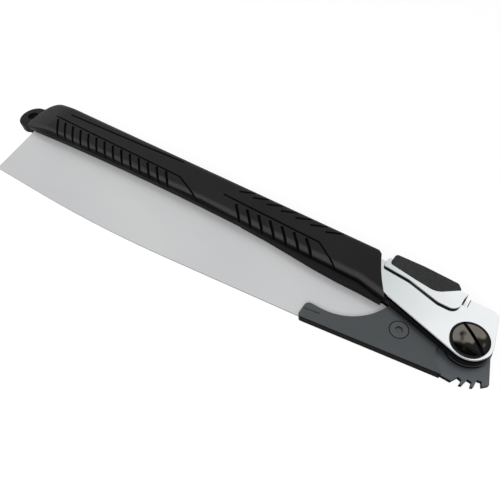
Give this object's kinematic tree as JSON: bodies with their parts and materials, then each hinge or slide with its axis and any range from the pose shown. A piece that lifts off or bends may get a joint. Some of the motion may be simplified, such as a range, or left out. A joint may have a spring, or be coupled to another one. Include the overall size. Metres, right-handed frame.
{
  "type": "japanese pull saw",
  "caption": "Folding pull saw: a straight-toothed blade in a grey holder turns on a screw pivot into a ribbed rubber handle and is held by a sprung notch latch.",
  "frame": {"origin": "on the pivot axis, at the outer face of the pivot nut", "axes": "+Z along the pivot axis from the nut to the screw head, -X from the pivot to the handle's tail, +Y to the latch side"},
  "size_m": [0.3978, 0.0765, 0.022],
  "materials": {
    "blade_steel": "satin, brushed along the blade",
    "holder_grey": "satin grey coat",
    "plate_steel": "dark grey oxide",
    "bright_steel": "bright, finely turned",
    "chrome": "polished",
    "black_chrome": "polished black chrome",
    "black_coat": "satin black",
    "core_black": "moulded, satin",
    "rubber": "moulded, fine matt texture"
  },
  "bodies": {
    "handle": {"grip": "rubber", "handle_core": "core_black", "end_cap": "core_black", "end_cap_pin": "bright_steel", "head_spacer": "black_coat", "liner_upper": "black_coat", "liner_lower": "black_coat", "cheek_upper": "chrome", "cheek_lower": "chrome", "core_rivets": "bright_steel", "spacer_rivet": "bright_steel", "pivot_screw": "black_chrome", "pivot_nut": "black_chrome", "pivot_bush": "bright_steel", "fulcrum_pin": "bright_steel", "lever_spring": "bright_steel"},
    "blade_unit": {"blade": "blade_steel", "lock_plate": "plate_steel", "holder_upper": "holder_grey", "holder_lower": "holder_grey", "holder_rivets": "holder_grey", "clamp_screw": "holder_grey", "clamp_nut": "holder_grey", "washer_upper": "plate_steel", "washer_lower": "plate_steel"},
    "lever": {"lever_cover": "chrome", "lever_pad": "rubber", "lock_bar": "bright_steel", "lever_rivets": "bright_steel"}
  },
  "joints": [
    {"name": "blade_fold", "type": "hinge", "parent": "handle", "child": "blade_unit", "pos_m": [0, 0, 0.011], "axis": [0, 0, 1], "range_deg": [0, 197.5]},
    {"name": "latch_lever", "type": "hinge", "parent": "handle", "child": "lever", "pos_m": [-0.035, 0.017, 0.011], "axis": [0, 0, 1], "range_deg": [-7.5, 1.5], "stiffness_Nm_per_rad": 0.5, "deforming": ["lever_spring"]}
  ]
}
